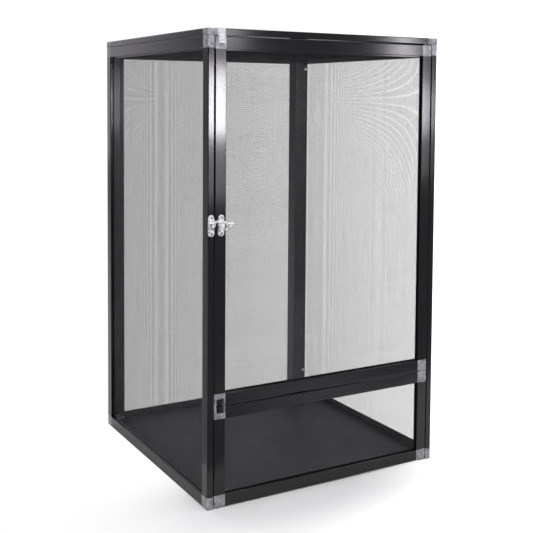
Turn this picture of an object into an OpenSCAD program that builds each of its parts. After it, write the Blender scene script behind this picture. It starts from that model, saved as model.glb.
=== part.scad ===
// Screen terrarium: four mesh panels, a floor sheet and two side-hung front doors.
// Every panel is a frame of hollow bars that butt against cast corner keys. The mesh is
// pressed into a groove in the bars by a round cord.
// Working coordinates: X across the front from the left, Y from the front to the back,
// Z up from the surface it stands on. placed() moves the origin to the middle of the footprint.

/* [Overall size] */
// Width across the front
cage_w = 452; // [380:1:610]
// Depth from front to back
cage_d = 452; // [380:1:610]
// Height
cage_h = 762; // [610:1:1000]

/* [Frame bars] */
// Width of a bar's face
bar_w = 19.5; // [17:0.5:24]
// Thickness of a bar, which is the thickness of every panel
bar_t = 11; // [10:0.5:14]
// Wall of the hollow bar
bar_wall = 1.2; // [0.8:0.1:1.6]
// Rounding of a bar's outer edges
edge_r = 1.2; // [0.4:0.1:1.6]
// Width of the groove that holds the mesh
groove_w = 4.2; // [3.6:0.1:5]
// Web left between the groove and the bar's face
groove_floor = 2.2; // [1.4:0.1:3]
// Width of the lip between the groove and the mesh
lip_w = 2.6; // [2:0.1:3.4]
// Height of the lip over the bar's face
lip_h = 6.4; // [5:0.1:7.5]
// Width of the shelf that the lip carries under the mesh
shelf_w = 2.5; // [1.5:0.1:3.5]
// Thickness of that shelf
shelf_t = 1.4; // [1:0.1:2]

/* [Corner keys] */
// Length of a key's leg inside the bar
leg_len = 28; // [18:1:40]
// Play of a leg inside the bar, each side
leg_play = 0.15; // [0.1:0.05:0.3]
// Lead-in at the tip of a leg
leg_lead = 1.2; // [0.5:0.1:2]

/* [Mesh and cord] */
// Thickness of the mesh sheet
mesh_t = 0.5; // [0.3:0.1:1]
// Thickness of the mesh hem turned down into the groove
hem_t = 0.4; // [0.3:0.1:0.8]
// Diameter of the cord that holds the mesh
cord_d = 3.6; // [3:0.1:3.6]

/* [Doors] */
// Height of the seam between the two doors
seam_z = 165; // [110:1:260]
// Width of the seam between the two doors
seam_gap = 1.8; // [1.6:0.1:3]
// Gap at each side of a door
side_gap = 1.4; // [1.4:0.1:2.5]
// Gap over the main door
head_gap = 1.6; // [1:0.1:3]
// Gap under the lower door
foot_gap = 1.4; // [1.4:0.1:3]

/* [Hinges] */
// Diameter of the hinge pins
pin_d = 4; // [3:0.5:5]
// Running clearance round a hinge pin, on the radius
pin_play = 0.05; // [0.02:0.01:0.1]
// Length of a hinge pin inside a door's corner key
pin_len = 8; // [5:0.5:10]
// Thickness of the hinge lugs
lug_t = 1; // [0.8:0.1:1]
// Height of the middle lug's foot inside the upright
lug_foot = 10; // [8:1:16]
// Radius of a lug round its pin
lug_r = 4.6; // [4:0.2:5]

/* [Latch] */
// Height of the latch's pivot
latch_z = 454; // [350:1:600]
// Width of the latch's plates
plate_w = 10.4; // [8:0.2:10.6]
// Length of the latch's plates
plate_h = 34; // [30:1:40]
// Thickness of the latch's plates, raised middle included
plate_t = 3.6; // [2.4:0.1:5]
// Width of the rim round a plate's raised middle
rim_w = 1.2; // [0.6:0.1:1.6]
// Thickness of that rim
rim_t = 1.4; // [1:0.1:2]
// Spacing of the two screws in a plate
plate_screws = 25; // [20:1:26]
// Thickness of the lever
lever_t = 2.2; // [1.6:0.1:3]
// Space between the lever and the plates
lever_gap = 0.6; // [0.4:0.1:1]
// Diameter of the lever's pivot
pivot_d = 3.2; // [2.4:0.2:4]
// Running clearance round the pivot, on the radius
pivot_play = 0.05; // [0.02:0.01:0.1]
// Radius of the keeper's post
post_r = 1.4; // [1:0.1:1.6]
// Space between the hook and the head of the keeper's post
hook_play = 0.5; // [0.4:0.1:1]
// Width of the hook, the arm and the pull
rod_w = 2.6; // [2:0.1:3]
// Reach of the pull to the right of the pivot
pull_len = 19; // [15:0.5:21]

/* [Top slide tab] */
// Width of the tab
tab_w = 11.4; // [9:0.2:12]
// Height of the tab
tab_h = 23; // [20:1:28]
// Thickness of the tab
tab_t = 2.3; // [1.6:0.1:3]
// Sideways travel of the tab
tab_travel = 2.5; // [1.5:0.1:3]
// Distance from the side of the cage to the tab
tab_x = 17.4; // [16.6:0.2:19]

/* [Middle slide bar] */
// Width of the bar
slide_w = 8; // [6:0.2:8.6]
// Height of the bar
slide_h = 21.6; // [18:0.2:22]
// Travel of the bar towards the side
slide_travel = 2.5; // [1.5:0.1:2.6]
// Space left beside the bar in its window at the end of its travel
slide_play = 0.3; // [0.3:0.1:0.6]

/* [Floor] */
// Thickness of the floor sheet
floor_t = 3; // [2:0.5:3]
// Height of the floor's top face
floor_z = 8.6; // [7:0.1:9.4]
// Depth of the floor sheet's edge inside the rails
floor_bite = 4; // [2:0.5:6]

/* [Rear corner post] */
// Width of the post, across the back
post_w = 30; // [20:1:45]
// Depth of the post, along the side
post_d = 28; // [20:1:45]
// Wall of the post
post_wall = 1.5; // [1:0.1:2.5]

/* [Hidden] */
$fn = 48;
eps = 0.01;

// Places that follow from the sizes above
tube_w = bar_w - lip_w - groove_w;         // hollow part of a bar
side_h = cage_h - bar_t;                   // the sides and the back stand under the top panel
back_w = cage_w - 2 * bar_t;
door_x = bar_t + side_gap;
door_w = cage_w - 2 * door_x;
main_z = seam_z + seam_gap / 2;
main_h = side_h - head_gap - main_z;
lower_h = seam_z - seam_gap / 2 - foot_gap;

// Corner keys
leg_in = bar_wall + leg_play;              // from the panel's edge to a leg
leg_w = tube_w - 2 * leg_in;
leg_t = bar_t - 2 * leg_in;
leg_root = 1;                              // a leg starts this far inside its block

// Hinge axis: through the middle of the right-hand corner keys
hinge_x = door_x + door_w - bar_w / 2;
hinge_y = bar_t / 2;
// Circle that the hinge edge of a door sweeps
heel_r = norm([bar_w / 2 - edge_r, bar_t / 2 - edge_r]) + edge_r;
heel_room = 0.6;
pin_root = 8;                              // length of the upper pin in the top panel
pin_end = 0.5;                             // room over a pin's end
lug_depth = 8;
lug_side = 2;                              // from the lower lug's end to the cage's side
lug_screw_len = 8;
rivet_drop = 6;

// Mesh and cord inside the groove
mesh_in = tube_w + groove_w - hem_t;       // from the panel's edge to the mesh's hem
cord_in = tube_w + (groove_w - hem_t) / 2;
cord_y = groove_floor + cord_d / 2 + 0.05;
hem_lift = 0.5;                            // of the hem's edge over the groove's floor

// Latch
base_x = door_x + bar_w / 2 + 0.6;         // pivot, on the latch stile
keeper_x = bar_t / 2;                      // keeper, on the side panel's front edge
head_t = 1;
head_r = post_r + 0.6;
head_gap_y = 0.8;                          // from the lever's face to the heads
latch_reach = plate_t + lever_gap + lever_t + head_gap_y + head_t;
hook_r = head_r + hook_play;
hook_drop = 1;                             // of the hook's tip below the post's middle
arm_rise = 2;
arm_r = (base_x - keeper_x - hook_r - pivot_d - rod_w) / 2;
boss_r = pivot_d / 2 + 2.4;
boss_up = 0.5;                             // of the boss over the lever's face
boss_gap = 0.3;
pull_a = [4.5, 5.4];                       // corners of the pull, from the pivot
pull_b = [pull_len, 2.8];
pull_c = [5, -6.6];
pull_web = 9;                              // web across the pull, from the pivot
screw_r = 1.4;
screw_head_r = 2.6;
screw_head_t = 1.2;
screw_len = 9;
recess_w = 0.6;                            // cross recess in a screw's head
recess_d = 0.6;

// Top slide tab: the notch in the top panel's key, and the slot in the door's key
notch_play = 0.3;
notch_x = tab_x - tab_travel - notch_play;
notch_end = tab_x + tab_w + notch_play;
notch_d = 4.6;
tab_clear = 0.3;
tab_z = cage_h - tab_h;
tab_rib = 3;
stem_w = 6;
stem_h = 4;
stem_x = tab_x + (tab_w - stem_w) / 2 + 0.6;
stem_z = tab_z + 2.2;
foot_t = 1.2;
foot_lap = 1.4;
tongue_w = 1.6;
groove_in = tongue_w + 0.4;                // depth of the tongue's groove in the key
tongue_t = 1.2;
tongue_y = 1.6;

// Middle slide bar: its window runs through both corner keys
slide_x = door_x + (bar_w - slide_w) / 2 + 0.9;
window_x = slide_x - slide_travel - slide_play;
window_w = slide_w + 2 * (slide_travel + slide_play);
window_h = slide_h + 1.8;
slide_face = 0.8;                          // the bar lies this far behind the doors' face
slide_t = 7;
guide_r = 1.2;
guide_play = 0.05;
guide_up = 6.8;                            // of the guide pin over the seam
guide_bite = 3;
flange_w = 2.4;
flange_up = 3;                             // of the flange over the bar's foot
flange_h = 6;

// Dowels between the panels
dowel_r = 2;
dowel_len = 15;
dowel_low = bar_w / 2;
dowel_high = bar_w - 5;

// Floor
slot_play = 0.1;
floor_play = 0.3;
wing_in = bar_w + leg_len + 1;             // the floor's edges start past the keys' legs
ledge_w = 9;
ledge_t = 1.2;
front_bar_y = hinge_y + heel_r + heel_room;
front_bar_h = floor_z + 1;

// Rear corner post
post_x = cage_w - bar_t - post_w;
post_y = cage_d - bar_t - post_d;
post_edge_r = 1.5;
post_play = 0.3;
post_screw_r = 1.75;
post_screw_head_r = 2.8;
post_screw_head_t = 1.4;
post_screw_low = 60;
post_screw_drop = 34;                      // of the upper screw under the top panel
post_screw_in = tube_w / 2;                // into the hollow of the back panel's upright

black = [0.16, 0.16, 0.17];
silver = [0.66, 0.66, 0.69];
chrome = [0.85, 0.86, 0.88];
mesh_grey = [0.55, 0.55, 0.57];
rubber = [0.1, 0.1, 0.1];

// ---- Placement --------------------------------------------------------------------------

// The origin is the middle of the footprint, latch included
module placed() {
    translate([-cage_w / 2, -(cage_d - latch_reach) / 2, 0]) children();
}

// A panel is drawn with its outer face at y = 0, its thickness towards +y, its width along x
// and its height along z. These put it on each side of the cage.
module on_left() {
    placed() translate([0, cage_d, 0]) rotate([0, 0, -90]) children();
}
module on_right() {
    placed() translate([cage_w, 0, 0]) rotate([0, 0, 90]) children();
}
module on_back() {
    placed() translate([cage_w - bar_t, cage_d, 0]) rotate([0, 0, 180]) children();
}
module on_top() {
    placed() translate([0, 0, cage_h]) rotate([-90, 0, 0]) children();
}
module on_main_door() {
    placed() translate([door_x, 0, main_z]) children();
}
module on_lower_door() {
    placed() translate([door_x, 0, foot_gap]) children();
}

// Cylinder along +y from y = from to y = to
module rod_y(x, z, from, to, r) {
    translate([x, to, z]) rotate([90, 0, 0]) cylinder(h = to - from, r = r);
}

// Flat shape in the x-z plane, from y = from to y = to
module slab_y(from, to) {
    translate([0, to, 0]) rotate([90, 0, 0]) linear_extrude(to - from) children();
}

// ---- Frame bars -------------------------------------------------------------------------

// Strip with round corners at its start and, if both, at its end too
module rounded_strip(w, h, r, both = true) {
    translate([r, 0]) square([w - (both ? 2 : 1) * r, h]);
    translate([0, r]) square([w, h - 2 * r]);
    for (x = both ? [r, w - r] : [r], y = [r, h - r])
        translate([x, y]) circle(r);
}

// Section of a bar: the hollow part, then the groove, then the lip.
// x runs from the panel's edge to the mesh, and y from the outer face inwards.
module bar_section() {
    difference() {
        rounded_strip(tube_w, bar_t, edge_r, false);
        translate([bar_wall, bar_wall]) square([tube_w - 2 * bar_wall, bar_t - 2 * bar_wall]);
    }
    translate([tube_w - bar_wall, 0])
        square([groove_w + bar_wall + lip_w / 2, groove_floor]);
    translate([bar_w, 0]) mirror([1, 0]) rounded_strip(lip_w, lip_h, edge_r, false);
}

// Section of the shelf at the foot of the lip, which the mesh lies on, set back from the face
module shelf_section() {
    tip_r = shelf_t / 2;
    translate([bar_w - lip_w / 2, lip_h - shelf_t])
        square([lip_w / 2 + shelf_w - tip_r, shelf_t]);
    translate([bar_w + shelf_w - tip_r, lip_h - tip_r]) circle(tip_r);
}

// Bar along z. cut_back shortens the shelf at both ends.
module bar(length, cut_back = 0) {
    linear_extrude(length) bar_section();
    translate([0, 0, cut_back]) linear_extrude(length - 2 * cut_back) shelf_section();
}

module start_stile(h) {
    translate([0, 0, bar_w]) bar(h - 2 * bar_w);
}
module end_stile(w, h) {
    translate([w, 0, 0]) mirror([1, 0, 0]) start_stile(h);
}
// The rails' shelves end at the stiles' shelves. A rail that starts further in leaves room
// for a longer key.
module lower_rail(w, start = bar_w) {
    translate([w - bar_w, 0, 0]) rotate([0, -90, 0]) bar(w - bar_w - start, shelf_w);
}
module upper_rail(w, h) {
    translate([bar_w, 0, h]) rotate([0, 90, 0]) bar(w - 2 * bar_w, shelf_w);
}

// ---- Corner keys ------------------------------------------------------------------------

// Outline of a leg along the second axis, narrower at its tip
function leg_outline(from, to) = [
    [leg_in, from], [leg_in + leg_w, from], [leg_in + leg_w, to - 3 * leg_lead],
    [leg_in + leg_w - leg_lead, to], [leg_in + leg_lead, to], [leg_in, to - 3 * leg_lead]
];
function swapped(points) = [for (p = points) [p[1], p[0]]];

// Key with its outer corner at the origin, w wide. Its outer edges have the bars' rounding,
// the bars' grooves run on through it, and its legs fill the bars' hollows.
module corner_key(w = bar_w) {
    difference() {
        union() {
            intersection() {
                linear_extrude(bar_w) rounded_strip(w, bar_t, edge_r, false);
                translate([w, 0, 0]) rotate([0, -90, 0])
                    linear_extrude(w) rounded_strip(bar_w, bar_t, edge_r, false);
            }
            slab_y(leg_in, leg_in + leg_t)
                polygon(leg_outline(bar_w - leg_root, bar_w + leg_len));
            slab_y(leg_in, leg_in + leg_t)
                polygon(swapped(leg_outline(w - leg_root, w + leg_len)));
        }
        translate([tube_w, groove_floor, tube_w]) cube([groove_w, bar_t, bar_w]);
        translate([tube_w, groove_floor, tube_w]) cube([w, bar_t, groove_w]);
        translate([tube_w, lip_h, tube_w]) cube([w, bar_t, bar_w]);
    }
}

// Puts a key on a corner of a panel of width w and height h
module at_corner(w, h, right, up) {
    translate([right ? w : 0, 0, up ? h : 0])
        mirror([right ? 1 : 0, 0, 0]) mirror([0, 0, up ? 1 : 0]) children();
}

// One key on each corner, apart from the one that skip names as [right, up]
module corner_keys(w, h, skip = []) {
    for (right = [false, true], up = [false, true])
        if (skip != [right, up]) at_corner(w, h, right, up) corner_key();
}

// ---- Mesh and cord ----------------------------------------------------------------------

// The sheet lies on the lips and its hem is turned down into the grooves
module mesh_sheet(w, h) {
    inner = mesh_in + hem_t;
    translate([mesh_in, lip_h, mesh_in])
        cube([w - 2 * mesh_in, mesh_t, h - 2 * mesh_in]);
    difference() {
        translate([mesh_in, groove_floor + hem_lift, mesh_in])
            cube([w - 2 * mesh_in, lip_h - groove_floor - hem_lift, h - 2 * mesh_in]);
        translate([inner, 0, inner]) cube([w - 2 * inner, lip_h, h - 2 * inner]);
    }
}

// Four lengths of cord, one in each groove
module spline_cords(w, h) {
    r = cord_d / 2;
    across = mesh_in;                       // the level cords stop inside the upright ones
    for (x = [cord_in, w - cord_in])
        translate([x, cord_y, tube_w]) cylinder(h = h - 2 * tube_w, r = r);
    for (z = [cord_in, h - cord_in])
        translate([across, cord_y, z]) rotate([0, 90, 0])
            cylinder(h = w - 2 * across, r = r);
}

// ---- Fasteners --------------------------------------------------------------------------

// Push-in dowels: four up into the top panel, four from the sides into the back panel
module dowels() {
    for (x = [bar_t / 2, cage_w - bar_t / 2], y = [dowel_low, cage_d - dowel_low])
        translate([x, y, side_h - dowel_len / 2]) cylinder(h = dowel_len, r = dowel_r);
    for (x = [bar_t, cage_w - bar_t], z = [dowel_low, side_h - dowel_high])
        translate([x - dowel_len / 2, cage_d - bar_t / 2, z]) rotate([0, 90, 0])
            cylinder(h = dowel_len, r = dowel_r);
}

// Two countersunk screws through a latch plate, flush with its face
module plate_screws_at(x) {
    for (z = [latch_z - plate_screws / 2, latch_z + plate_screws / 2]) {
        rod_y(x, z, -plate_t, screw_len - plate_t, screw_r);
        translate([x, screw_head_t - plate_t, z]) rotate([90, 0, 0])
            cylinder(h = screw_head_t, r1 = screw_r, r2 = screw_head_r);
    }
}

// Cross recesses in the heads of those screws
module plate_screw_recesses(x) {
    for (z = [latch_z - plate_screws / 2, latch_z + plate_screws / 2], a = [45, 135])
        translate([x, recess_d - plate_t, z]) rotate([90, a, 0])
            translate([-screw_r, -recess_w / 2, 0]) cube([2 * screw_r, recess_w, 2 * recess_d]);
}

// Two screws through the rear post into the back panel's upright
module post_screws() {
    x = cage_w - bar_t - post_screw_in;
    for (z = [post_screw_low, side_h - post_screw_drop]) {
        rod_y(x, z, post_y, cage_d - bar_t / 2, post_screw_r);
        rod_y(x, z, post_y - post_screw_head_t, post_y, post_screw_head_r);
    }
}

// Rivet of the middle lug, its head inside the upright
module lug_rivet() {
    translate([cage_w - bar_t, hinge_y, seam_z - rivet_drop]) rotate([0, 90, 0]) {
        cylinder(h = bar_wall + lug_t + head_t, r = screw_r);
        translate([0, 0, bar_wall + lug_t]) cylinder(h = head_t, r = screw_head_r);
    }
}

// Countersunk screw of the lower lug, up into the side panel's key
module lug_screw() {
    translate([cage_w - bar_t / 2, hinge_y, 0]) {
        cylinder(h = lug_screw_len, r = screw_r);
        cylinder(h = lug_t, r1 = screw_head_r, r2 = screw_r);
    }
}

module frame_screws() {
    color(silver) placed() {
        difference() {
            plate_screws_at(keeper_x);
            plate_screw_recesses(keeper_x);
        }
        post_screws();
        lug_rivet();
        lug_screw();
    }
}

module panel_dowels() {
    color(black) placed() dowels();
}

// ---- Hinges -----------------------------------------------------------------------------

// The three pins on the hinge axis. Grown by play they are the bores in the doors' keys.
module pins(play = 0) {
    r = pin_d / 2 + play;
    over = play > 0 ? pin_end : 0;
    head = side_h - head_gap;
    translate([hinge_x, hinge_y, 0]) {
        translate([0, 0, head - pin_len - over])
            cylinder(h = pin_len + over + head_gap + pin_root, r = r);
        translate([0, 0, seam_z - seam_gap / 2 - pin_len - over])
            cylinder(h = seam_gap + 2 * (pin_len + over), r = r);
        cylinder(h = foot_gap + pin_len + over, r = r);
    }
}

module hinge_pins() {
    color(chrome) placed() pins();
}

// Plate from the hinge axis into the side panel, round about the pin
module lug_plate(z, reach) {
    translate([0, 0, z]) {
        translate([hinge_x, hinge_y, 0]) cylinder(h = lug_t, r = lug_r);
        translate([hinge_x, hinge_y - lug_depth / 2, 0])
            cube([reach - hinge_x, lug_depth, lug_t]);
    }
}

// The middle lug passes through a slot in the upright, and its foot lies inside the wall
module middle_lug_solid() {
    wall_x = cage_w - bar_t + bar_wall;
    lug_plate(seam_z - lug_t / 2, wall_x + lug_t);
    translate([wall_x, hinge_y - lug_depth / 2, seam_z - lug_foot])
        cube([lug_t, lug_depth, lug_foot]);
}

module middle_hinge_lug() {
    color(silver) placed() difference() {
        middle_lug_solid();
        pins();
        lug_rivet();
    }
}

module lower_hinge_lug() {
    color(silver) placed() difference() {
        lug_plate(0, cage_w - lug_side);
        pins();
        lug_screw();
    }
}

// ---- Side panels ------------------------------------------------------------------------

// Slot in a bottom rail's inner wall that takes the floor's edge
module floor_slot(w) {
    translate([0, bar_t - bar_wall - eps, floor_z - floor_t - slot_play])
        cube([w, bar_wall + 2 * eps, floor_t + 2 * slot_play]);
}

module slotted_rail(w) {
    difference() {
        lower_rail(w);
        floor_slot(w);
    }
}

module left_front_stile() {
    color(black) difference() {
        on_left() end_stile(cage_d, side_h);
        placed() plate_screws_at(keeper_x);
    }
}
module left_rear_stile() { color(black) on_left() start_stile(side_h); }
module left_top_rail() { color(black) on_left() upper_rail(cage_d, side_h); }
module left_bottom_rail() { color(black) on_left() slotted_rail(cage_d); }
module left_corner_keys() {
    color(silver) difference() {
        on_left() corner_keys(cage_d, side_h);
        placed() dowels();
    }
}
module left_mesh() { color(mesh_grey) on_left() mesh_sheet(cage_d, side_h); }
module left_spline_cords() { color(rubber) on_left() spline_cords(cage_d, side_h); }

module right_front_stile() {
    color(black) difference() {
        on_right() start_stile(side_h);
        placed() middle_lug_solid();
        placed() lug_rivet();
    }
}
module right_rear_stile() { color(black) on_right() end_stile(cage_d, side_h); }
module right_top_rail() { color(black) on_right() upper_rail(cage_d, side_h); }
module right_bottom_rail() { color(black) on_right() slotted_rail(cage_d); }
module right_corner_keys() {
    color(silver) difference() {
        on_right() corner_keys(cage_d, side_h);
        placed() dowels();
        placed() lug_plate(0, cage_w - lug_side);
        placed() lug_screw();
    }
}
module right_mesh() { color(mesh_grey) on_right() mesh_sheet(cage_d, side_h); }
module right_spline_cords() { color(rubber) on_right() spline_cords(cage_d, side_h); }

// ---- Back panel -------------------------------------------------------------------------

module back_left_stile() { color(black) on_back() end_stile(back_w, side_h); }
module back_right_stile() {
    color(black) difference() {
        on_back() start_stile(side_h);
        placed() post_screws();
    }
}
module back_top_rail() { color(black) on_back() upper_rail(back_w, side_h); }
module back_bottom_rail() { color(black) on_back() slotted_rail(back_w); }
module back_corner_keys() {
    color(silver) difference() {
        on_back() corner_keys(back_w, side_h);
        placed() dowels();
        placed() post_screws();
    }
}
module back_mesh() { color(mesh_grey) on_back() mesh_sheet(back_w, side_h); }
module back_spline_cords() { color(rubber) on_back() spline_cords(back_w, side_h); }

// ---- Top panel --------------------------------------------------------------------------

// The front bar starts where the long key with the notch ends
module top_front_bar() {
    color(black) difference() {
        on_top() lower_rail(cage_w, notch_end);
        placed() pins();
    }
}
module top_rear_bar() { color(black) on_top() upper_rail(cage_w, cage_d); }
module top_left_bar() { color(black) on_top() start_stile(cage_d); }
module top_right_bar() { color(black) on_top() end_stile(cage_w, cage_d); }
module top_corner_keys() {
    color(silver) difference() {
        on_top() corner_keys(cage_w, cage_d, [false, false]);
        placed() dowels();
        placed() pins();
    }
}

// Long key at the front left: the slide tab stands in its notch, and the tab's tongue slides
// into the undercut at the notch's left side
module top_keeper_key() {
    color(silver) difference() {
        on_top() corner_key(notch_end);
        placed() dowels();
        placed() translate([notch_x, -eps, side_h - eps])
            cube([notch_end - notch_x + eps, notch_d, bar_t + 2 * eps]);
        placed() translate([notch_x - groove_in, tongue_y - notch_play, side_h - eps])
            cube([groove_in + eps, tongue_t + 2 * notch_play, bar_t + 2 * eps]);
    }
}
module top_mesh() { color(mesh_grey) on_top() mesh_sheet(cage_w, cage_d); }
module top_spline_cords() { color(rubber) on_top() spline_cords(cage_w, cage_d); }

// ---- Floor and rear post ----------------------------------------------------------------

// The sheet's edges reach into the slots of the side and back rails, clear of the keys
module floor_sheet() {
    z = floor_z - floor_t;
    y = front_bar_y + ledge_t;
    inner = bar_t + floor_play;
    bite = bar_t - floor_bite;
    color([0.12, 0.12, 0.13]) placed() translate([0, 0, z]) {
        translate([inner, y, 0])
            cube([cage_w - 2 * inner, cage_d - inner - y, floor_t]);
        translate([bite, wing_in, 0])
            cube([cage_w - 2 * bite, cage_d - 2 * wing_in, floor_t]);
        translate([bar_t + wing_in, y, 0])
            cube([back_w - 2 * wing_in, cage_d - bite - y, floor_t]);
    }
}

// Angle bar behind the lower door, which carries the sheet's front edge
module floor_front_bar() {
    color(black) placed() translate([bar_t, front_bar_y, 0]) {
        cube([back_w, ledge_t, front_bar_h]);
        translate([0, 0, floor_z - floor_t - ledge_t]) cube([back_w, ledge_w, ledge_t]);
    }
}

module rear_corner_post() {
    inner_r = post_edge_r / 2;
    color(black) placed() difference() {
        translate([post_x, post_y, floor_z]) linear_extrude(side_h - post_play - floor_z)
            difference() {
                rounded_strip(post_w, post_d, post_edge_r);
                translate([post_wall, post_wall])
                    rounded_strip(post_w - 2 * post_wall, post_d - 2 * post_wall, inner_r);
            }
        post_screws();
    }
}

// ---- Latch ------------------------------------------------------------------------------

// Oblong with round ends
module oblong(w, h) {
    end_y = (h - w) / 2;
    translate([-w / 2, -end_y]) square([w, 2 * end_y]);
    for (y = [-end_y, end_y]) translate([0, y]) circle(w / 2);
}

// Plate on the front face at x: a thin rim round a raised middle
module latch_plate_at(x) {
    slab_y(-rim_t, 0) translate([x, latch_z]) oblong(plate_w, plate_h);
    slab_y(-plate_t, -rim_t / 2) translate([x, latch_z])
        oblong(plate_w - 2 * rim_w, plate_h - 2 * rim_w);
}

// Plate on the side panel's front edge, with the headed post that the hook drops over
module keeper_plate() {
    color(chrome) placed() {
        difference() {
            latch_plate_at(keeper_x);
            plate_screws_at(keeper_x);
        }
        rod_y(keeper_x, latch_z, -latch_reach, -plate_t / 2, post_r);
        rod_y(keeper_x, latch_z, -latch_reach, head_t - latch_reach, head_r);
    }
}

// Rivet that the lever turns on, through the plate and the latch stile's wall
module pivot_solid() {
    rod_y(base_x, latch_z, -latch_reach, bar_wall, pivot_d / 2);
    rod_y(base_x, latch_z, -latch_reach, head_t - latch_reach, boss_r - 1);
}

module latch_plate() {
    color(chrome) placed() difference() {
        latch_plate_at(base_x);
        plate_screws_at(base_x);
        pivot_solid();
    }
}
module latch_plate_screws() {
    color(chrome) placed() difference() {
        plate_screws_at(base_x);
        plate_screw_recesses(base_x);
    }
}
module latch_pivot() { color(chrome) placed() pivot_solid(); }

// Point with that x on the line through a and b
function on_line(a, b, x) = a + (b - a) * (x - a[0]) / (b[0] - a[0]);

// Flat rod between two points
module link(a, b) {
    d = b - a;
    for (p = [a, b]) translate(p) circle(rod_w / 2);
    translate(a) rotate(atan2(d[1], d[0])) translate([0, -rod_w / 2]) square([norm(d), rod_w]);
}

// Upper half of a ring of inner radius r, its ends drawn down by drop
module arch(r, drop) {
    intersection() {
        difference() {
            circle(r + rod_w);
            circle(r);
        }
        translate([-r - rod_w, 0]) square([2 * (r + rod_w), r + rod_w]);
    }
    for (x = [-r - rod_w, r]) translate([x, -drop]) square([rod_w, drop + eps]);
}

// Lever: a hook over the keeper's post, an arched arm, the boss and a three-cornered pull
module latch_lever() {
    face = -(plate_t + lever_gap);
    color(chrome) placed() difference() {
        union() {
            slab_y(face - lever_t, face) {
                translate([keeper_x, latch_z]) arch(hook_r, hook_drop);
                translate([keeper_x + hook_r + rod_w + arm_r, latch_z + arm_rise])
                    arch(arm_r, arm_rise);
                translate([base_x, latch_z]) {
                    circle(boss_r);
                    link([0, 0], pull_a);
                    link(pull_a, pull_b);
                    link(pull_b, pull_c);
                    link(pull_c, [0, 0]);
                    link(on_line(pull_a, pull_b, pull_web), on_line(pull_b, pull_c, pull_web));
                }
            }
            rod_y(base_x, latch_z, face - lever_t - boss_up, -plate_t - boss_gap, boss_r);
        }
        rod_y(base_x, latch_z, -latch_reach, 0, pivot_d / 2 + pivot_play);
    }
}

// ---- Slides -----------------------------------------------------------------------------

// Tab on the main door: a plate in front, a rib in the top panel's notch with a side tongue,
// and a stem through the door's key with a foot behind it
module top_slide_tab() {
    color(chrome) placed() {
        translate([tab_x, -tab_clear - tab_t, tab_z]) cube([tab_w, tab_t, tab_h]);
        translate([tab_x, -tab_clear - eps, side_h + tab_clear])
            cube([tab_w, tab_clear + tab_rib, bar_t - tab_clear]);
        translate([tab_x - tongue_w, tongue_y, side_h + tab_clear])
            cube([tongue_w + eps, tongue_t, bar_t - tab_clear]);
        translate([stem_x, -tab_clear - eps, stem_z])
            cube([stem_w, bar_t + 2 * tab_clear + foot_t, stem_h]);
        translate([stem_x - foot_lap, bar_t + tab_clear, stem_z - foot_lap])
            cube([stem_w + 2 * foot_lap, foot_t, stem_h + 2 * foot_lap]);
    }
}

// Slot in the main door's key that the tab's stem slides in
module stem_slot() {
    translate([stem_x - tab_travel - notch_play, -eps, stem_z - notch_play])
        cube([stem_w + tab_travel + 2 * notch_play, bar_t + 2 * eps, stem_h + 2 * notch_play]);
}

// Window through the corner keys of both doors at the seam
module slide_window() {
    translate([window_x, -eps, seam_z - window_h / 2])
        cube([window_w, bar_t + 2 * eps, window_h]);
}

module guide_solid(r) {
    translate([window_x - guide_bite, slide_face + slide_t / 2, seam_z + guide_up])
        rotate([0, 90, 0]) cylinder(h = window_w + 2 * guide_bite, r = r);
}

module slide_guide_pin() { color(chrome) placed() guide_solid(guide_r); }

// Bar in the window. Slid to the side, the flange at its back lies behind the lower door's
// key and holds the two doors together.
module middle_slide_bar() {
    foot_z = seam_z - slide_h / 2;
    color(black) placed() difference() {
        union() {
            translate([slide_x, slide_face, foot_z]) cube([slide_w, slide_t, slide_h]);
            translate([slide_x, slide_face, foot_z + flange_up])
                cube([slide_w / 2, bar_t + tab_clear - slide_face + foot_t, flange_h]);
            translate([slide_x - flange_w, bar_t + tab_clear, foot_z + flange_up])
                cube([slide_w / 2 + flange_w, foot_t, flange_h]);
        }
        guide_solid(guide_r + guide_play);
    }
}

// ---- Main door --------------------------------------------------------------------------

module door_latch_stile() {
    color(black) difference() {
        on_main_door() start_stile(main_h);
        placed() plate_screws_at(base_x);
        placed() pivot_solid();
    }
}
module door_hinge_stile() { color(black) on_main_door() end_stile(door_w, main_h); }
module door_top_rail() { color(black) on_main_door() upper_rail(door_w, main_h); }
module door_bottom_rail() { color(black) on_main_door() lower_rail(door_w); }
module door_corner_keys() {
    color(silver) difference() {
        on_main_door() corner_keys(door_w, main_h);
        placed() pins(pin_play);
        placed() stem_slot();
        placed() slide_window();
        placed() guide_solid(guide_r);
    }
}
module door_mesh() { color(mesh_grey) on_main_door() mesh_sheet(door_w, main_h); }
module door_spline_cords() { color(rubber) on_main_door() spline_cords(door_w, main_h); }

// ---- Lower door -------------------------------------------------------------------------

module lower_latch_stile() { color(black) on_lower_door() start_stile(lower_h); }
module lower_hinge_stile() { color(black) on_lower_door() end_stile(door_w, lower_h); }
module lower_top_rail() { color(black) on_lower_door() upper_rail(door_w, lower_h); }
module lower_bottom_rail() { color(black) on_lower_door() lower_rail(door_w); }
module lower_corner_keys() {
    color(silver) difference() {
        on_lower_door() corner_keys(door_w, lower_h, [false, true]);
        placed() pins(pin_play);
    }
}
module lower_keeper_key() {
    color(silver) difference() {
        on_lower_door() at_corner(door_w, lower_h, false, true) corner_key();
        placed() slide_window();
    }
}
module lower_mesh() { color(mesh_grey) on_lower_door() mesh_sheet(door_w, lower_h); }
module lower_spline_cords() { color(rubber) on_lower_door() spline_cords(door_w, lower_h); }

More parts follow.
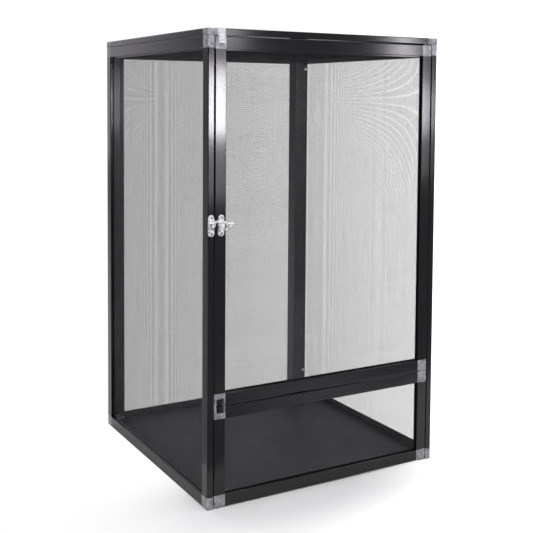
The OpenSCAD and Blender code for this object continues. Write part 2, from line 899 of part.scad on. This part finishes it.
left_front_stile();
left_rear_stile();
left_top_rail();
left_bottom_rail();
left_corner_keys();
left_mesh();
left_spline_cords();
right_front_stile();
right_rear_stile();
right_top_rail();
right_bottom_rail();
right_corner_keys();
right_mesh();
right_spline_cords();
back_left_stile();
back_right_stile();
back_top_rail();
back_bottom_rail();
back_corner_keys();
back_mesh();
back_spline_cords();
top_front_bar();
top_rear_bar();
top_left_bar();
top_right_bar();
top_corner_keys();
top_keeper_key();
top_mesh();
top_spline_cords();
floor_sheet();
floor_front_bar();
rear_corner_post();
panel_dowels();
hinge_pins();
middle_hinge_lug();
lower_hinge_lug();
frame_screws();
keeper_plate();
door_latch_stile();
door_hinge_stile();
door_top_rail();
door_bottom_rail();
door_corner_keys();
door_mesh();
door_spline_cords();
latch_plate();
latch_plate_screws();
latch_pivot();
slide_guide_pin();
lower_latch_stile();
lower_hinge_stile();
lower_top_rail();
lower_bottom_rail();
lower_corner_keys();
lower_keeper_key();
lower_mesh();
lower_spline_cords();
latch_lever();
top_slide_tab();
middle_slide_bar();
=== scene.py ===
"""Looks of the screen terrarium: woven mesh, coated bars, cast corner keys, light and camera."""

import math
import random

import bpy
from mathutils import Matrix, Vector


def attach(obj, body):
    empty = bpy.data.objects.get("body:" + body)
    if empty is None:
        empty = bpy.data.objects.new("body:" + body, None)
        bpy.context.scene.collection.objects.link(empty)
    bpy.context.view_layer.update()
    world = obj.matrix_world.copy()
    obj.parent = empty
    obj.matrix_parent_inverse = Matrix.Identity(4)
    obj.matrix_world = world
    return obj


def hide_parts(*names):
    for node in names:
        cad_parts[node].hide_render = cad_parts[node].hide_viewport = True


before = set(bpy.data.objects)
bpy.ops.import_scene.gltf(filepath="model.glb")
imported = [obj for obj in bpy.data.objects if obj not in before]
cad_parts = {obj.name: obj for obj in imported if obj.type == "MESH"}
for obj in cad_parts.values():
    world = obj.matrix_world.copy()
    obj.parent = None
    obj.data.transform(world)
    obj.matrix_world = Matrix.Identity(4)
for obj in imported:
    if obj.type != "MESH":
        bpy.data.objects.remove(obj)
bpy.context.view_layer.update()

MM = 0.001
CAGE_W, CAGE_D, CAGE_H = 452 * MM, 452 * MM, 762 * MM   # across the front, to the back, height
BAR_T = 11 * MM                  # thickness of a panel
SIDE_H = CAGE_H - BAR_T          # the sides and the back stand under the top panel
ORIGIN = Vector((-CAGE_W / 2, -221.9 * MM, 0))          # the cage's front left corner
COOL = (0.955, 0.925, 1.0)       # tint of what the bars mirror


# ---- Camera ------------------------------------------------------------------------------

EYE = ORIGIN + Vector((-0.6316, -1.2914, 0.6517))       # the photograph's camera, in metres
SENSOR = 36                      # mm
PHOTO = 533                      # width and height of the photograph in pixels


def add_camera(place, yaw, pitch, roll, focal_px, centre_y):
    """Camera at the photograph's angle. centre_y is the picture row that its axis meets."""
    forward = Vector((math.sin(yaw) * math.cos(pitch), math.cos(yaw) * math.cos(pitch),
                      math.sin(pitch)))
    level = Vector((math.cos(yaw), -math.sin(yaw), 0))
    above = level.cross(forward)
    right = math.cos(roll) * level + math.sin(roll) * above
    up = -math.sin(roll) * level + math.cos(roll) * above
    turn = Matrix((right, up, -forward)).transposed().to_4x4()
    data = bpy.data.cameras.new("camera")
    data.sensor_width = SENSOR
    data.lens = SENSOR * focal_px / PHOTO
    data.shift_y = (centre_y - PHOTO / 2) / PHOTO
    cam = bpy.data.objects.new("camera", data)
    cam.matrix_world = Matrix.Translation(place) @ turn
    bpy.context.collection.objects.link(cam)
    bpy.context.scene.camera = cam


add_camera(EYE, yaw=math.radians(29.677), pitch=math.radians(-3.321), roll=math.radians(0.384),
           focal_px=927.5, centre_y=153.3)


# ---- Node trees --------------------------------------------------------------------------

class Tree:
    """The nodes of a material or the world, with short calls for those used here."""

    def __init__(self, owner):
        owner.use_nodes = True
        self.nodes = owner.node_tree.nodes
        self.links = owner.node_tree.links

    def add(self, kind, inputs, **settings):
        """A node with its settings. inputs gives a socket or a value by input name or number."""
        node = self.nodes.new("ShaderNode" + kind)
        for name, value in settings.items():
            setattr(node, name, value)
        for key, value in inputs.items():
            if isinstance(value, bpy.types.NodeSocket):
                self.links.new(value, node.inputs[key])
            else:
                node.inputs[key].default_value = value
        return node

    def axes(self, vector):
        """The X, Y and Z of a vector."""
        return self.add("SeparateXYZ", {"Vector": vector}).outputs

    def math(self, operation, *values):
        return self.add("Math", dict(enumerate(values)), operation=operation).outputs["Value"]

    def chain(self, operation, first, *others):
        """One operation over many values, such as their product."""
        for value in others:
            first = self.math(operation, first, value)
        return first

    def near(self, value, place, reach):
        """1 where the value is within reach of the place, 0 elsewhere."""
        return self.math("COMPARE", value, place, reach)

    def vector_math(self, operation, *values):
        """The outputs Vector and Value of an operation on vectors."""
        return self.add("VectorMath", dict(enumerate(values)), operation=operation).outputs

    def smooth(self, value, start, end, first, last):
        """Goes smoothly from first to last while the value goes from start to end."""
        inputs = {"Value": value, "From Min": start, "From Max": end,
                  "To Min": first, "To Max": last}
        return self.add("MapRange", inputs, interpolation_type="SMOOTHSTEP").outputs["Result"]

    def camera_ray(self):
        """1 for what the camera sees itself, 0 for what is mirrored or lit."""
        return self.add("LightPath", {}).outputs["Is Camera Ray"]

    def blend_shaders(self, factor, a, b, output):
        """Puts shader a, and b where the factor is 1, on the tree's output."""
        mix = self.add("MixShader", {"Fac": factor, 1: a, 2: b})
        self.links.new(mix.outputs["Shader"], self.nodes[output].inputs["Surface"])


class Shader(Tree):
    """A material made from its Principled BSDF. Textures lie in object coordinates."""

    def __init__(self, name, **inputs):
        self.material = bpy.data.materials.new(name)
        super().__init__(self.material)
        self.bsdf = self.nodes["Principled BSDF"]
        for key, value in inputs.items():
            self.bsdf.inputs[key.replace("_", " ")].default_value = value
        self.place = self.add("TexCoord", {}).outputs["Object"]
        self.bump = None

    def noise(self, scale, detail=3, rough=0.5):
        """Noise with one scale, or one for each axis, in features a metre."""
        if not isinstance(scale, tuple):
            scale = (scale,) * 3
        place = self.add("Mapping", {"Vector": self.place, "Scale": scale}).outputs["Vector"]
        return self.add("TexNoise", {"Vector": place, "Scale": 1, "Detail": detail,
                                     "Roughness": rough}).outputs["Fac"]

    def ramp(self, value, *stops):
        """Maps a value through two stops of (position, number or colour)."""
        node = self.add("ValToRGB", {"Fac": value})
        for element, (position, tone) in zip(node.color_ramp.elements, stops):
            element.position = position
            element.color = (*(tone if isinstance(tone, tuple) else (tone,) * 3), 1)
        return node.outputs["Color"]

    def mix(self, factor, a, b):
        """Colour a, with b over it by the factor. 6, 7 and 2 are a Mix node's colour sockets."""
        return self.add("Mix", {0: factor, 6: a, 7: b}, data_type="RGBA").outputs[2]

    def set(self, name, value):
        """Links a socket to the BSDF's input of that name."""
        self.links.new(value, self.bsdf.inputs[name])

    def add_bump(self, height, distance):
        """Adds bump of that distance in metres over the bump that is already there."""
        inputs = {"Height": height, "Distance": distance}
        if self.bump:
            inputs["Normal"] = self.bump
        self.bump = self.add("Bump", inputs).outputs["Normal"]
        self.set("Normal", self.bump)


# ---- Materials ---------------------------------------------------------------------------

OPENING_IN = 27 * MM             # from the cage's side to a door's opening, less a little
OPENING_Z = (16 * MM, 735 * MM)  # foot of the lower opening and head of the upper, with a margin
SEAM_Z = 165 * MM                # between the doors
SEAM_IN = 12 * MM                # from the cage's side to the doors' edges
SEAM_REACH = 1.5 * MM            # half of the dark line between the doors
JOINT_REACH = 0.7 * MM           # half of the dark line between the sides and the top panel
DOOR_REACH = BAR_T - 0.2 * MM    # the doors' bars lie within this of the front, others behind


def along(axis, fine, coarse):
    """Texture scale that is coarse along one axis and fine across it."""
    return tuple(coarse if i == "xyz".index(axis) else fine for i in range(3))


def shaded_parts(s):
    """1 on the sides of the lips round the doors' mesh and in the panels' joints, which lie in
    shade; there the bars get painted shade.
    """
    facing = s.axes(s.add("NewGeometry", {}).outputs["True Normal"])
    at = s.axes(s.place)
    foot, head = OPENING_Z
    in_door = s.near(at["Y"], ORIGIN.y, DOOR_REACH)
    side = s.near(facing["Y"], 0, 0.5)
    inside = s.near(at["X"], 0, CAGE_W / 2 - OPENING_IN)
    high = s.near(at["Z"], (foot + head) / 2, (head - foot) / 2)
    lips = s.chain("MULTIPLY", in_door, side, inside, high)
    seam = s.chain("MULTIPLY", in_door, s.near(at["X"], 0, CAGE_W / 2 - SEAM_IN),
                   s.near(at["Z"], SEAM_Z, SEAM_REACH))
    return s.chain("MAXIMUM", lips, seam, s.near(at["Z"], SIDE_H, JOINT_REACH))


def coated_bar(axis):
    """Black coating on a bar along the axis: faint die lines, a fine orange peel, and painted
    shade where the lips' sides and the joints mirror less.
    """
    s = Shader("coated_bar_" + axis, IOR=1.5, Specular_IOR_Level=0.5)
    lines = s.noise(along(axis, fine=900, coarse=4), detail=2)
    cloud = s.noise(14, detail=4, rough=0.6)
    base = s.ramp(cloud, (0.3, (0.0024, 0.002, 0.0028)), (0.7, (0.0054, 0.0047, 0.0062)))
    s.set("Base Color", s.mix(0.25, base, s.ramp(lines, (0.35, 0.001), (0.65, 0.012))))
    s.set("Roughness", s.ramp(cloud, (0.3, 0.135), (0.75, 0.165)))
    # Painted shade: the lips' sides and the joints mirror less, so they look dark as in shade.
    s.set("Specular IOR Level", s.ramp(shaded_parts(s), (0.0, 0.5), (1.0, 0.15)))
    s.add_bump(lines, distance=0.008 * MM)
    s.add_bump(s.noise(1400, detail=2), distance=0.006 * MM)
    return s.material


def cast_metal(name, tones, rough, grain=160, pits=0.08 * MM, metallic=1.0, edge=(0.3, 0.7)):
    """Metal with a cloudy grain between two tones, which meet over the edge, and small pits."""
    s = Shader(name, Metallic=metallic)
    cloud = s.noise(grain, detail=5, rough=0.65)
    s.set("Base Color", s.ramp(cloud, (edge[0], tones[0]), (edge[1], tones[1])))
    s.set("Roughness", s.ramp(s.noise(grain * 2), (0.3, rough[0]), (0.7, rough[1])))
    s.add_bump(s.noise(grain * 6), distance=pits)
    return s.material


def drawn_wire():
    """Grey coated wire of the mesh. It is too thin for bump."""
    s = Shader("drawn_wire", Roughness=0.45, Metallic=0.0, IOR=1.45)
    cloud = s.noise(45, detail=4, rough=0.6)
    s.set("Base Color", s.ramp(cloud, (0.3, (0.052, 0.049, 0.055)), (0.7, (0.077, 0.072, 0.081))))
    return s.material


def moulded(name, dark, light, rough, **inputs):
    """Plastic or rubber with a cloudy tone and a fine grain."""
    s = Shader(name, **inputs)
    cloud = s.noise(20, detail=4, rough=0.6)
    s.set("Base Color", s.ramp(cloud, (0.3, dark), (0.7, light)))
    s.set("Roughness", s.ramp(cloud, (0.3, rough[0]), (0.7, rough[1])))
    s.add_bump(s.noise(300, detail=4, rough=0.6), distance=0.03 * MM)
    return s.material


BARS = {axis: coated_bar(axis) for axis in "xyz"}
KEY = cast_metal("cast_key", tones=((0.13, 0.13, 0.14), (0.56, 0.56, 0.59)), rough=(0.46, 0.62),
                 metallic=0.6)
CHROME = cast_metal("bright_plate", tones=((0.03, 0.03, 0.04), (1.0, 1.0, 1.0)),
                    rough=(0.28, 0.38), grain=330, pits=0.06 * MM, metallic=0.5,
                    edge=(0.4, 0.47))
TAB = cast_metal("bright_tab", tones=((0.55, 0.55, 0.6), (0.9, 0.9, 0.93)), rough=(0.3, 0.4),
                 grain=220, pits=0.06 * MM, metallic=0.0, edge=(0.36, 0.56))
STEEL = cast_metal("plain_steel", tones=((0.38, 0.38, 0.4), (0.55, 0.55, 0.57)),
                   rough=(0.25, 0.4))
ZINC = cast_metal("zinc_screw", tones=((0.5, 0.5, 0.52), (0.7, 0.7, 0.72)), rough=(0.2, 0.32),
                  grain=300)
WIRE = drawn_wire()
FLOOR_SHEET = moulded("floor_sheet", (0.004, 0.004, 0.005), (0.007, 0.007, 0.008),
                      rough=(0.5, 0.62), Specular_IOR_Level=0.18)
RUBBER = moulded("cord_rubber", (0.012, 0.012, 0.012), (0.022, 0.022, 0.022), rough=(0.6, 0.75))
NYLON = moulded("dowel_nylon", (0.015, 0.015, 0.015), (0.03, 0.03, 0.03), rough=(0.4, 0.55))

# The axis that a bar runs along, by a part of its node's name
AXES = {"stile": "z", "top_front_bar": "x", "top_rear_bar": "x", "top_left_bar": "y",
        "top_right_bar": "y", "floor_front_bar": "x", "rear_corner_post": "z",
        "middle_slide_bar": "z", "left_top_rail": "y", "left_bottom_rail": "y",
        "right_top_rail": "y", "right_bottom_rail": "y", "rail": "x"}
# What is not a bar
OTHERS = {"key": KEY, "spline_cords": RUBBER, "floor_sheet": FLOOR_SHEET, "dowels": NYLON,
          "screws": ZINC, "hinge_pins": STEEL, "lug": STEEL, "guide_pin": STEEL,
          "keeper_plate": CHROME, "latch": CHROME, "top_slide_tab": TAB, "mesh": WIRE}


def finish_of(node):
    """The material of a CAD node, found by the first key that its name holds."""
    for part, axis in AXES.items():
        if part in node:
            return BARS[axis]
    for part, material in OTHERS.items():
        if part in node:
            return material
    raise KeyError(node)


for node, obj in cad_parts.items():
    obj.data.materials.clear()
    obj.data.materials.append(finish_of(node))


# ---- Woven mesh --------------------------------------------------------------------------

PITCH = 1.1 * MM                 # from wire to wire
WIRE_R = 0.095 * MM              # half of a square wire's width from corner to corner
WAVE = 0.04 * MM                 # how far a wire may wander from its line on the way
SEGMENT = 40 * MM                # length of a wire's straight pieces
MESH_IN = 16.7 * MM              # from a panel's edge to the middle of the hem
MESH_Y = (6.52 * MM, 6.78 * MM)  # depth of the upright and of the level wires in the panel
HEM_Y = 3.0 * MM                 # the hem's edge, in the groove
RING = 4                         # corners round a wire


def wire(along_x, at, end, depth, radius, chance):
    """Corners of a square wire: up out of the groove, across the opening, and down again."""
    lo, hi = MESH_IN, end - MESH_IN
    pieces = round((hi - lo) / SEGMENT)
    path = [(lo, HEM_Y, (-1, 0), 0), (lo, depth, (-1, 1), 0)]
    path += [(lo + (hi - lo) * k / pieces, depth, (0, 1), chance.uniform(-WAVE, WAVE))
             for k in range(1, pieces)]
    path += [(hi, depth, (1, 1), 0), (hi, HEM_Y, (1, 0), 0)]
    rings = []
    for u, y, (du, dy), aside in path:
        for out, across in ((1, 0), (0, 1), (-1, 0), (0, -1)):
            a, b = u + out * du * radius, y + out * dy * radius
            c = at + aside + across * radius
            rings.append((a, b, c) if along_x else (c, b, a))
    return rings


def wire_faces(first, corners):
    """Two ends and the four sides of each piece, for a wire whose corners begin at first."""
    last = first + corners - RING
    faces = [(first, first + 1, first + 2, first + 3), (last + 3, last + 2, last + 1, last)]
    for a in range(first, last, RING):
        for k in range(RING):
            n = (k + 1) % RING
            faces.append((a + k, a + RING + k, a + RING + n, a + n))
    return faces


def woven_panel(node, body, w, h, to_cage, radius=WIRE_R):
    """Replaces a panel's sheet by its wires. to_cage turns panel coordinates to the cage's."""
    verts, faces = [], []
    chance = random.Random(node)
    for along_x, span, end, depth in ((False, w, h, MESH_Y[0]), (True, h, w, MESH_Y[1])):
        number = int((span - 2 * MESH_IN) / PITCH)
        step = (span - 2 * MESH_IN) / number
        for i in range(number + 1):
            corners = wire(along_x, MESH_IN + i * step, end, depth, radius, chance)
            faces += wire_faces(len(verts), len(corners))
            verts += corners
    mesh = bpy.data.meshes.new(node + "_wires")
    mesh.from_pydata([ORIGIN + Vector(to_cage(*v)) for v in verts], [], faces)
    mesh.polygons.foreach_set("use_smooth", [True] * len(faces))
    mesh.materials.append(WIRE)
    obj = bpy.data.objects.new(node + "_wires", mesh)
    bpy.context.collection.objects.link(obj)
    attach(obj, body)
    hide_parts(node)


DOOR_X, DOOR_W = 12.4 * MM, 427.2 * MM                  # both doors' left edge, and width
BACK_W = CAGE_W - 2 * BAR_T                             # the back stands between the sides
MAIN_Z, MAIN_H = 165.9 * MM, 583.5 * MM                 # each door's foot, and height
LOWER_Z, LOWER_H = 1.4 * MM, 162.7 * MM

# The wires' thickness brings each panel's grey to the photograph's
woven_panel("left_mesh", "cage", CAGE_D, SIDE_H, lambda x, y, z: (y, CAGE_D - x, z),
            radius=0.87 * WIRE_R)
woven_panel("right_mesh", "cage", CAGE_D, SIDE_H, lambda x, y, z: (CAGE_W - y, x, z),
            radius=0.94 * WIRE_R)
woven_panel("back_mesh", "cage", BACK_W, SIDE_H,
            lambda x, y, z: (CAGE_W - BAR_T - x, CAGE_D - y, z), radius=1.06 * WIRE_R)
woven_panel("top_mesh", "cage", CAGE_W, CAGE_D, lambda x, y, z: (x, z, CAGE_H - y))
woven_panel("door_mesh", "main_door", DOOR_W, MAIN_H,
            lambda x, y, z: (DOOR_X + x, y, MAIN_Z + z), radius=1.1 * WIRE_R)
woven_panel("lower_mesh", "lower_door", DOOR_W, LOWER_H,
            lambda x, y, z: (DOOR_X + x, y, LOWER_Z + z), radius=0.9 * WIRE_R)


# ---- Floor and cards ---------------------------------------------------------------------

FLOOR_R = 8                      # half of the floor's width in metres
FLOOR_Z = -0.3 * MM              # just under the cage's feet
CARD_Z = 0.2 * MM                # just over the floor
OVAL_X, OVAL_Y = -0.075, -0.235  # middle of the oval round the cage's shadow, where the camera sees the grey floor
OVAL_RX, OVAL_RY = 0.42, 0.185   # its reach; its fade into the white backdrop shapes the shadow as painted shade


def plane(name, corners):
    mesh = bpy.data.meshes.new(name)
    mesh.from_pydata(corners, [], [(0, 1, 2, 3)])
    obj = bpy.data.objects.new(name, mesh)
    bpy.context.collection.objects.link(obj)
    return obj


def backdrop_glow(tree, way):
    """Brightness of the backdrop that lies that way from the camera's place, 1 or more.

    The way is a unit vector. The brightening belongs to its direction in the room, +X and low,
    so other views than the photograph's have it elsewhere."""
    parts = tree.axes(way)
    right = tree.smooth(parts["X"], 0.44, 0.66, first=0, last=0.5)
    low = tree.smooth(parts["Z"], 0.0, 0.14, first=1, last=0.2)
    return tree.math("MULTIPLY_ADD", right, low, 1.0)


def add_floor():
    """Pale floor, grey in the oval, where its shadow is partly rendered and partly painted shade.
    Outside the oval the camera sees it as the white backdrop.
    """
    obj = plane("floor", [(x * FLOOR_R, y * FLOOR_R, FLOOR_Z)
                          for x, y in ((-1, -1), (1, -1), (1, 1), (-1, 1))])
    s = Shader("pale_floor", Base_Color=(0.68, 0.68, 0.68, 1), Roughness=0.9,
               Specular_IOR_Level=0.0)
    # Painted shade: the grey floor fades to white at the oval's edge, which sets the shadow's
    # shape.
    oval = s.add("Mapping", {"Vector": s.place, "Scale": (1 / OVAL_RX, 1 / OVAL_RY, 0),
                             "Location": (-OVAL_X / OVAL_RX, -OVAL_Y / OVAL_RY, 0)})
    away = s.vector_math("LENGTH", oval.outputs["Vector"])["Value"]
    far = s.smooth(away, 0.2, 1.05, first=0, last=1)
    from_eye = s.vector_math("SUBTRACT", s.place, EYE)["Vector"]
    way = s.vector_math("NORMALIZE", from_eye)["Vector"]
    white = s.add("Emission", {"Strength": backdrop_glow(s, way)}).outputs["Emission"]
    s.blend_shaders(s.math("MULTIPLY", far, s.camera_ray()), s.bsdf.outputs["BSDF"], white,
                    "Material Output")
    obj.data.materials.append(s.material)


def add_card(name, tone, *corners):
    """Card on the floor that only mirroring faces see. It glows with the tone."""
    obj = plane(name, [(x, y, CARD_Z) for x, y in corners])
    obj.visible_camera = obj.visible_diffuse = obj.visible_shadow = False
    s = Shader(name, Base_Color=(0.0, 0.0, 0.0, 1), Roughness=1.0, Specular_IOR_Level=0.0,
               Emission_Color=(*COOL, 1), Emission_Strength=tone)
    obj.data.materials.append(s.material)
    return s


def brighten_round(s, spot, reach, tone, rest):
    """Gives a card a glow that falls from tone at the spot to rest beyond its reach."""
    away = s.vector_math("DISTANCE", s.place, (*spot, CARD_Z))["Value"]
    s.set("Emission Strength", s.smooth(away, 0, reach, first=tone, last=rest))


add_floor()
FRONT_TONE = 0.32
front_card = add_card("front_card", FRONT_TONE, (-3, -4), (5, -4), (2.5, -1.37), (-0.5, -0.23))
brighten_round(front_card, spot=(0.26, -0.64), reach=0.34, tone=0.85, rest=FRONT_TONE)
add_card("left_card", 0.4, (-0.28, -0.05), (-3.3, 7), (-8, 7), (-8, -0.2))


# ---- Light -------------------------------------------------------------------------------

STRIP_AWAY = 0.9                 # metres from the front to the soft boxes that it mirrors


def add_world():
    """White backdrop for the camera, brighter than white at the right of the picture.

    For the object the room is white at the back, dim in front and darkest at the left."""
    world = bpy.data.worlds.new("studio")
    bpy.context.scene.world = world
    tree = Tree(world)
    way = tree.add("TexCoord", {}).outputs["Generated"]
    parts = tree.axes(way)
    depth = tree.smooth(parts["Y"], -0.35, 0.45, first=0.22, last=0.9)
    side = tree.smooth(parts["X"], -0.48, -0.3, first=0.1, last=1.5)
    room = tree.nodes["Background"]
    room.inputs["Color"].default_value = (*COOL, 1)
    tree.links.new(tree.math("MULTIPLY", depth, side), room.inputs["Strength"])
    backdrop = tree.add("Background", {"Color": (1, 1, 1, 1),
                                       "Strength": backdrop_glow(tree, way)})
    tree.blend_shaders(tree.camera_ray(), room.outputs["Background"],
                       backdrop.outputs["Background"], "World Output")


def add_light(name, place, target, size, watts):
    """Rectangular area light that the camera doesn't see."""
    data = bpy.data.lights.new(name, "AREA")
    data.shape = "RECTANGLE"
    data.size, data.size_y = size
    data.energy = watts
    obj = bpy.data.objects.new(name, data)
    obj.location = place
    obj.rotation_mode = "QUATERNION"
    obj.rotation_quaternion = (Vector(target) - Vector(place)).to_track_quat("-Z", "Y")
    bpy.context.collection.objects.link(obj)
    obj.visible_camera = False
    return obj


def strip(name, on_front, size, watts):
    """Soft box that the front faces mirror to the camera at the point on_front."""
    point = ORIGIN + Vector((on_front[0], 0, on_front[1]))
    way = point - EYE
    way.y = -way.y
    place = point + way.normalized() * STRIP_AWAY
    light = add_light(name, place, point, size, watts)
    light.data.color = COOL
    light.visible_diffuse = False


add_world()
add_light("overhead", (0.2, -0.2, 3.2), (0, 0, 0), size=(3, 3), watts=103)
add_light("key", (-2.4, -1.6, 2.4), (0, 0, 0.35), size=(1.2, 1.2), watts=43)
# Name, place on the front (across, up), width and height, watts
for name, on_front, size, watts in (
        ("strip_left", (0.018, 0.648), (0.07, 0.17), 1.5),
        ("strip_left_low", (0.016, 0.580), (0.06, 0.27), 0.23),
        ("strip_left_top", (0.035, 0.752), (0.06, 0.05), 0.11),
        ("strip_right", (0.378, 0.700), (0.06, 0.26), 0.8),
        ("strip_right_mid", (0.411, 0.638), (0.04, 0.13), 0.37),
        ("strip_right_low", (0.406, 0.585), (0.06, 0.2), 0.14)):
    strip(name, on_front, size, watts)

bpy.context.scene.view_settings.view_transform = "Standard"
